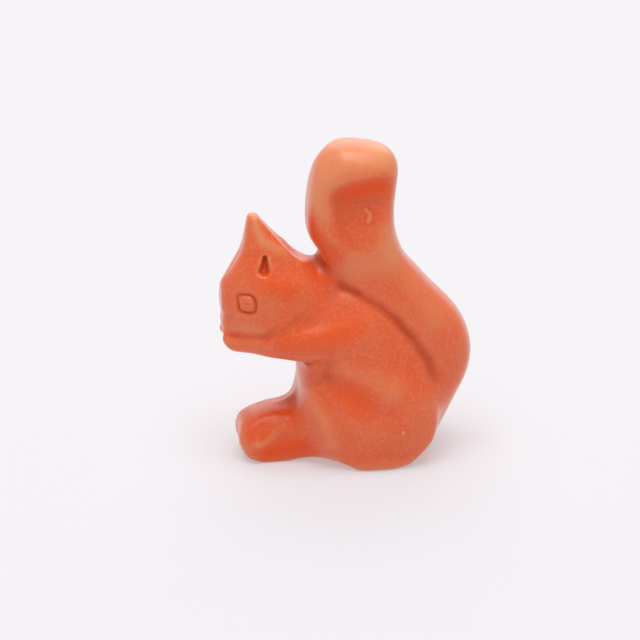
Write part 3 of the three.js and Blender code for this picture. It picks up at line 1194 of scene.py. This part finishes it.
class MottleAndPaintedLight:
    """Shader group: colour with painted shade in creases and hollows, painted highlights on
    ridges, and a faint random mottle and specks.
    """

    NAME: ClassVar[str] = "mottle_and_painted_light"
    COLOURS: ClassVar[tuple[str, ...]] = ("Base", "Shade", "Deep", "Pale")
    LEVELS: ClassVar[tuple[str, ...]] = ("Crease", "Depth", "Ridge")
    CLOUD: ClassVar[dict[str, float]] = {"Scale": 420.0, "Detail": 3.0}
    CLOUD_SPAN: ClassVar[Span] = (0.35, 0.7)
    MOTTLE: ClassVar[Span] = (0.0, 0.5)
    GRAIN: ClassVar[dict[str, float]] = {"Scale": 3200.0, "Detail": 2.0}
    SPECK_SPAN: ClassVar[Span] = (0.45, 0.75)
    SPECK: ClassVar[Span] = (0.0, 0.29)
    SHEEN_SPAN: ClassVar[Span] = (0.3, 0.7)
    ROUGHNESS: ClassVar[Span] = (0.3, 0.4)
    COAT: ClassVar[Span] = (0.75, 0.15)

    @classmethod
    def group(cls) -> bpy.types.NodeTree:
        """Make the group once.

        Returns:
            The group, with outputs for the colour, the roughness and the coat's weight.
        """
        found = bpy.data.node_groups.get(cls.NAME)
        if found:
            return found
        tree = bpy.data.node_groups.new(cls.NAME, "ShaderNodeTree")
        face = tree.interface
        for name in cls.COLOURS:
            face.new_socket(name, in_out="INPUT", socket_type="NodeSocketColor")
        for name in cls.LEVELS:
            face.new_socket(name, in_out="INPUT", socket_type="NodeSocketFloat")
        face.new_socket("Colour", in_out="OUTPUT", socket_type="NodeSocketColor")
        face.new_socket("Roughness", in_out="OUTPUT", socket_type="NodeSocketFloat")
        face.new_socket("Coat", in_out="OUTPUT", socket_type="NodeSocketFloat")
        link = tree.links.new
        given = add_node(tree, "NodeGroupInput").outputs
        result = add_node(tree, "NodeGroupOutput").inputs
        place = add_node(tree, "ShaderNodeTexCoord")
        cloud = add_node(tree, "ShaderNodeTexNoise", inputs=cls.CLOUD)
        grain = add_node(tree, "ShaderNodeTexNoise", inputs=cls.GRAIN)
        for noise in (cloud, grain):
            link(place.outputs["Object"], noise.inputs["Vector"])
        mottle = mapped(tree, cloud.outputs["Fac"], cls.CLOUD_SPAN, cls.MOTTLE)
        speck = mapped(tree, grain.outputs["Fac"], cls.SPECK_SPAN, cls.SPECK)
        sheen = mapped(tree, grain.outputs["Fac"], cls.SHEEN_SPAN, cls.ROUGHNESS)
        colour = mixed(tree, mottle, given["Base"], given["Deep"])
        colour = mixed(tree, speck, colour, given["Pale"])
        # Painted shade in hollows, painted highlights on ridges and painted shade in creases.
        colour = mixed(tree, given["Depth"], colour, given["Deep"])
        colour = mixed(tree, given["Ridge"], colour, given["Pale"])
        colour = mixed(tree, given["Crease"], colour, given["Shade"])
        link(colour, result["Colour"])
        link(sheen, result["Roughness"])
        hidden = add_node(tree, "ShaderNodeMath", operation="MAXIMUM")
        link(given["Crease"], hidden.inputs[0])
        link(given["Depth"], hidden.inputs[1])
        link(mapped(tree, hidden.outputs["Value"], (0.0, 1.0), cls.COAT), result["Coat"])
        return tree


class MouldingGrain:
    """Shader group: the fine grain that the mould leaves in the skin."""

    NAME: ClassVar[str] = "moulding_grain"
    GRAIN: ClassVar[dict[str, float]] = {"Scale": 2600.0, "Detail": 3.0}

    @classmethod
    def group(cls) -> bpy.types.NodeTree:
        """Make the group once.

        Returns:
            The group, with an output for the height of the grain.
        """
        found = bpy.data.node_groups.get(cls.NAME)
        if found:
            return found
        tree = bpy.data.node_groups.new(cls.NAME, "ShaderNodeTree")
        tree.interface.new_socket("Height", in_out="OUTPUT", socket_type="NodeSocketFloat")
        link = tree.links.new
        result = add_node(tree, "NodeGroupOutput")
        place = add_node(tree, "ShaderNodeTexCoord")
        grain = add_node(tree, "ShaderNodeTexNoise", inputs=cls.GRAIN)
        link(place.outputs["Object"], grain.inputs["Vector"])
        link(grain.outputs["Fac"], result.inputs["Height"])
        return tree


@dataclass(frozen=True)
class OrangePlastic:
    """The figure's one finish: a soft-gloss orange plastic, with painted shade in its creases
    and hollows, painted highlights on its ridges and a painted pale rim.

    Attributes:
        full_relief: How high a ridge has its full painted highlight, and how deep a crease its
            full painted shade, in millimetres.
        ridge_share: How much of the full painted highlight a ridge takes.
        base: Its colour on plain stretches.
        shade: Painted shade: its colour in creases, where shade falls.
        deep: A deeper orange, used for its random mottle and as painted shade in hollows and on
            stretches turned from the light.
        pale: A paler colour, used for its random specks and as painted highlights on ridges and
            on stretches that catch the light.
        rim: Painted rim light: the paler colour mixed in where the skin is seen from the side,
            standing in for its reflection at grazing angles.
        rim_span: From which to which turn away from the eye the painted rim light grows.
        rim_share: How much of the painted rim light shows at most.
        gloss: How strongly it mirrors.
        coat_roughness: How soft the highlights are.
        grain_depth: Depth of the grain, in metres.
        grain_strength: How strongly the grain shows.
    """

    name: ClassVar[str] = "orange_plastic"
    full_relief: float = 0.065
    ridge_share: float = 0.3
    base: Colour = (0.785, 0.107, 0.020, 1.0)
    shade: Colour = (0.54, 0.064, 0.016, 1.0)
    deep: Colour = (0.85, 0.078, 0.002, 1.0)
    pale: Colour = (0.82, 0.33, 0.140, 1.0)
    rim: Colour = (0.88, 0.42, 0.28, 1.0)
    rim_span: Span = (0.55, 1.0)
    rim_share: float = 0.6
    gloss: float = 0.2
    coat_roughness: float = 0.36
    grain_depth: float = 0.00001
    grain_strength: float = 0.25

    def levels(self, relief: np.ndarray, depth: np.ndarray) -> dict[str, np.ndarray]:
        """Work out how strongly the painted shade and the painted highlights show.

        Args:
            relief: How far each vertex stands out from what is round it.
            depth: The painted shade that each vertex takes from the streaks, less than nothing
                where they paint light.

        Returns:
            A level from 0 to 1 for each vertex, by the name of its attribute.
        """
        height = relief / self.full_relief
        calm = 1.0 - np.clip(depth, 0.0, 1.0)
        ridge = self.ridge_share * height - depth
        found = {"ridge": ridge, "crease": -height * calm, "deep": depth}
        return {name: np.clip(level, 0.0, 1.0) for name, level in found.items()}

    def material(self) -> bpy.types.Material:
        """Make the material.

        Returns:
            The material, which reads the levels from the piece's own attributes.
        """
        made = bpy.data.materials.new(self.name)
        made.use_nodes = True
        tree = made.node_tree
        link = tree.links.new
        shader = tree.nodes["Principled BSDF"].inputs
        shader["Specular IOR Level"].default_value = self.gloss
        shader["Coat Roughness"].default_value = self.coat_roughness
        tones = {"Base": self.base, "Shade": self.shade, "Deep": self.deep, "Pale": self.pale}
        tint = add_node(tree, "ShaderNodeGroup", node_tree=MottleAndPaintedLight.group(), inputs=tones)
        for name, attribute in (("Crease", "crease"), ("Depth", "deep"), ("Ridge", "ridge")):
            reader = add_node(tree, "ShaderNodeAttribute", attribute_name=attribute)
            link(reader.outputs["Fac"], tint.inputs[name])
        # Painted rim light: a paler colour mixed in where the skin turns from the eye.
        turned = add_node(tree, "ShaderNodeLayerWeight", inputs={"Blend": 0.5})
        share = mapped(tree, turned.outputs["Facing"], self.rim_span, (0.0, self.rim_share))
        edged = add_node(tree, "ShaderNodeMix", data_type="RGBA")
        link(share, edged.inputs["Factor"])
        link(tint.outputs["Colour"], edged.inputs["A"])
        edged.inputs["B"].default_value = self.rim
        link(edged.outputs["Result"], shader["Base Color"])
        link(tint.outputs["Roughness"], shader["Roughness"])
        link(tint.outputs["Coat"], shader["Coat Weight"])
        grain = add_node(tree, "ShaderNodeGroup", node_tree=MouldingGrain.group())
        relief = {"Strength": self.grain_strength, "Distance": self.grain_depth}
        bump = add_node(tree, "ShaderNodeBump", inputs=relief)
        link(grain.outputs["Height"], bump.inputs["Height"])
        link(bump.outputs["Normal"], shader["Normal"])
        return made


@dataclass(frozen=True)
class PaleFloor:
    """The floor's finish: matt and pale, with a little light of its own against grey shadows."""

    name: ClassVar[str] = "pale_floor"
    base: Colour = (0.46, 0.45, 0.475, 1.0)
    glow: Colour = (1.0, 0.985, 1.0, 1.0)
    glow_strength: float = 0.35
    roughness: float = 0.9
    gloss: float = 0.1

    def material(self) -> bpy.types.Material:
        """Make the material.

        Returns:
            The material.
        """
        made = bpy.data.materials.new(self.name)
        made.use_nodes = True
        shader = made.node_tree.nodes["Principled BSDF"].inputs
        shader["Base Color"].default_value = self.base
        shader["Emission Color"].default_value = self.glow
        shader["Emission Strength"].default_value = self.glow_strength
        shader["Roughness"].default_value = self.roughness
        shader["Specular IOR Level"].default_value = self.gloss
        return made


@dataclass
class Parting:
    """Parts the skin into its members along their creases.

    Attributes:
        skin: The whole skin.
        grow: How far past its own solid a member reaches into a crease.
        eye_grow: The same for an eye, to the middle of its groove.
        least: Vertices in the smallest body that is kept.
    """

    skin: Skin
    grow: float = 0.3
    eye_grow: float = 0.15
    least: int = 30
    FIRST: ClassVar[tuple[Member, ...]] = (
        Member.LEFT_EYE,
        Member.RIGHT_EYE,
        Member.TORSO,
        Member.TAIL,
        Member.HEAD,
        Member.LEFT_HAUNCH,
        Member.RIGHT_HAUNCH,
    )

    def cut(self, obj: bpy.types.Object, cutter: bpy.types.Object, way: Cut) -> None:
        """Cut an object by another one, or unite them."""
        use_tool(obj, Tool.CUT, object=cutter, operation=way.value, solver="MANIFOLD")

    def taken(self, rest: bpy.types.Object, cutter: bpy.types.Object) -> bpy.types.Object:
        """Take what lies in a cutter out of the rest of the clay.

        Args:
            rest: The rest of the clay.
            cutter: The cutter, which is used up.

        Returns:
            What lay in the cutter.
        """
        share = rest.copy()
        share.data = rest.data.copy()
        bpy.context.scene.collection.objects.link(share)
        self.cut(share, cutter, Cut.KEPT)
        self.cut(rest, cutter, Cut.TAKEN)
        discard(cutter)
        return share

    def halves(self, rest: bpy.types.Object) -> list[bpy.types.Object]:
        """Part what is left of the clay at the middle of the figure.

        Args:
            rest: What is left.

        Returns:
            Its left half and its right half.
        """
        size = 100.0
        bpy.ops.object.select_all(action="DESELECT")
        bpy.ops.mesh.primitive_cube_add(size=size, location=(size / 2, 0.0, 0.0))
        block = bpy.context.object
        bpy.ops.object.transform_apply(location=True, rotation=False, scale=False)
        return [self.taken(rest, block), rest]

    def part(self) -> dict[Member, bpy.types.Object]:
        """Part the skin.

        Returns:
            One closed piece for each member.
        """
        rest = self.skin.obj.copy()
        rest.data = self.skin.obj.data.copy()
        bpy.context.scene.collection.objects.link(rest)
        bodies: dict[Member, list[bpy.types.Object]] = {member: [] for member in MEMBERS}
        for member in self.FIRST:
            eye = member in (Member.LEFT_EYE, Member.RIGHT_EYE)
            cutter = bench_copy(member, self.eye_grow if eye else self.grow)
            bodies[member].append(self.taken(rest, cutter))
        for half in self.halves(rest):
            for body in loose_parts(half):
                if len(body.data.vertices) < self.least:
                    discard(body)
                    continue
                owners = self.skin.registry.members_at(points_of(body))
                owner = MEMBERS[np.bincount(owners).argmax()]
                bodies[owner].append(body)
        pieces = {}
        for member in MEMBERS:
            piece, *others = sorted(bodies[member], key=lambda body: -len(body.data.vertices))
            for other in others:
                self.cut(piece, other, Cut.UNITED)
                discard(other)
            pieces[member], *slivers = loose_parts(piece)
            for sliver in slivers:
                discard(sliver)
        return pieces


@dataclass
class Dressing:
    """Gives the parted pieces the whole skin's normals, their finish and their places.

    Attributes:
        skin: The whole skin.
        finish: The finish of all the pieces.
        neighbours: From how many of the skin's vertices a piece's vertex takes its values.
        touching: A distance that counts as none, in millimetres.
    """

    skin: Skin
    finish: OrangePlastic
    neighbours: int = 3
    touching: float = 1e-5

    def dress(self, pieces: dict[Member, bpy.types.Object]) -> None:
        """Dress all the pieces.

        Args:
            pieces: The piece of each member.
        """
        normals = normals_of(self.skin.obj)
        tree = tree_of(points_of(self.skin.obj))
        material = self.finish.material()
        for member, piece in pieces.items():
            rows, share = self.nearest(tree, points_of(piece))
            turned = (normals[rows] * share[:, :, None]).sum(axis=1)
            turned /= np.linalg.norm(turned, axis=1, keepdims=True)
            relief = (self.skin.relief[rows] * share).sum(axis=1)
            depth = (self.skin.depth[rows] * share).sum(axis=1)
            for name, level in self.finish.levels(relief, depth).items():
                layer = piece.data.attributes.new(name, "FLOAT", "POINT")
                layer.data.foreach_set("value", level.astype(np.float32))
            piece.data.transform(Matrix.Scale(MM, 4))
            choose(piece)
            bpy.ops.object.shade_smooth()
            piece.data.normals_split_custom_set_from_vertices(turned.tolist())
            piece.data.materials.clear()
            piece.data.materials.append(material)
            piece.name = member.value + "_skin"
            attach(piece, "root")
            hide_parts(member.value)
            log.info("%s: %s vertices", piece.name, len(piece.data.vertices))

    def nearest(self, tree: KDTree, points: np.ndarray) -> tuple[np.ndarray, np.ndarray]:
        """Find the skin's vertices that are nearest to points.

        Args:
            tree: The skin's vertices.
            points: One row for each point.

        Returns:
            For each point the numbers of those vertices, and the share of each of them.
        """
        found = [tree.find_n(point, self.neighbours) for point in points.tolist()]
        rows = np.array([[hit[1] for hit in hits] for hits in found])
        away = np.array([[hit[2] for hit in hits] for hits in found])
        share = 1.0 / (away + self.touching)
        return rows, share / share.sum(axis=1, keepdims=True)


@dataclass
class Figure:
    """The whole figure, built from its skin."""

    skin: Skin = field(default_factory=Skin)
    finish: OrangePlastic = OrangePlastic()
    lumps: Lumps = Lumps(height=0.02, length=9.0)

    def build(self) -> None:
        """Shape the skin, part it and dress the pieces."""
        self.skin.gather()
        log.info("skin: %s vertices", len(self.skin.obj.data.vertices))
        self.skin.fair()
        self.skin.soften_creases()
        self.skin.divide()
        parts: tuple[Sculpted, ...] = (Tail(), Head(), Forelegs(), Haunches(), Feet())
        for part in parts:
            for place, reach in part.fine:
                self.skin.refine(place, reach)
        self.skin.carve([brush for part in parts for brush in part.brushes()])
        self.skin.carve([self.lumps])
        self.skin.settle()
        self.skin.measure([tint for part in parts for tint in part.tints()])
        pieces = Parting(self.skin).part()
        Dressing(self.skin, self.finish).dress(pieces)
        discard(self.skin.obj)


@dataclass(frozen=True)
class Card:
    """A square soft light that faces the figure.

    Attributes:
        name: Its name.
        place: Its middle, in metres.
        size: The length of its sides, in metres.
        power: Its power in watts.
    """

    name: str
    place: Point
    size: float
    power: float

    def put_up(self) -> None:
        """Put the light up."""
        light = bpy.data.lights.new(self.name, "AREA")
        light.size = self.size
        light.energy = self.power
        lamp = bpy.data.objects.new(self.name, light)
        lamp.location = self.place
        lamp.rotation_euler = (-Vector(self.place)).to_track_quat("-Z", "Y").to_euler()
        bpy.context.scene.collection.objects.link(lamp)


@dataclass
class Studio:
    """The pale floor, the soft light and the camera.

    Attributes:
        azimuth: Where the camera stands round the figure, in degrees.
        elevation: Its height over the horizon, in degrees.
        distance: Its distance from the figure, in metres.
        aim_right: How far right of the figure's origin it aims, in metres.
        aim_up: How far above the origin it aims, in metres.
        lens: Its focal length in millimetres.
        sensor: The width of its sensor in millimetres.
        clip: From what distance to what distance it sees, in metres.
        floor_size: The length of the floor's sides, in metres.
        floor_finish: The floor's finish.
        room: How bright the pale room is.
        room_colour: The colour of its light.
        cards: The soft lights: one over the figure, and a pale one behind it.
    """

    azimuth: float = 83.0
    elevation: float = 22.0
    distance: float = 0.45
    aim_right: float = -0.00269
    aim_up: float = 0.01373
    lens: float = 234.9
    sensor: float = 36.0
    clip: Span = (0.01, 20.0)
    floor_size: float = 6.0
    floor_finish: PaleFloor = PaleFloor()
    room: float = 0.54
    room_colour: Colour = (1.0, 0.985, 0.99, 1.0)
    cards: tuple[Card, ...] = (
        Card("overhead", (0.08, -0.02, 0.5), size=0.36, power=1.6),
        Card("backdrop", (-0.4, 0.05, 0.3), size=0.5, power=0.9),
    )

    def build(self) -> None:
        """Set up the floor, the light and the camera."""
        self.floor()
        self.lights()
        self.camera()
        bpy.context.scene.view_settings.view_transform = "Standard"

    def floor(self) -> None:
        """Lay a pale floor."""
        bpy.ops.object.select_all(action="DESELECT")
        bpy.ops.mesh.primitive_plane_add(size=self.floor_size, location=(0.0, 0.0, 0.0))
        floor = bpy.context.object
        floor.name = "floor"
        floor.data.materials.append(self.floor_finish.material())

    def lights(self) -> None:
        """Light a pale room and put up the soft lights in it."""
        world = bpy.data.worlds.new("pale_room")
        bpy.context.scene.world = world
        world.use_nodes = True
        background = world.node_tree.nodes["Background"]
        background.inputs["Color"].default_value = self.room_colour
        background.inputs["Strength"].default_value = self.room
        for card in self.cards:
            card.put_up()

    def camera(self) -> None:
        """Stand the camera where the photograph was taken from."""
        turn = math.radians(self.azimuth)
        rise = math.radians(self.elevation)
        toward = Vector(
            (math.sin(turn) * math.cos(rise), -math.cos(turn) * math.cos(rise), math.sin(rise))
        )
        right = Vector((math.cos(turn), math.sin(turn), 0.0))
        up = toward.cross(right)
        aim = right * self.aim_right + up * self.aim_up
        data = bpy.data.cameras.new("camera")
        data.lens = self.lens
        data.sensor_width = self.sensor
        data.clip_start, data.clip_end = self.clip
        camera = bpy.data.objects.new("camera", data)
        camera.location = aim + toward * self.distance
        camera.rotation_euler = (-toward).to_track_quat("-Z", "Y").to_euler()
        bpy.context.scene.collection.objects.link(camera)
        bpy.context.scene.camera = camera


def main() -> None:
    """Build the figure and its studio."""
    Figure().build()
    Studio().build()


if __name__ == "__main__":
    main()
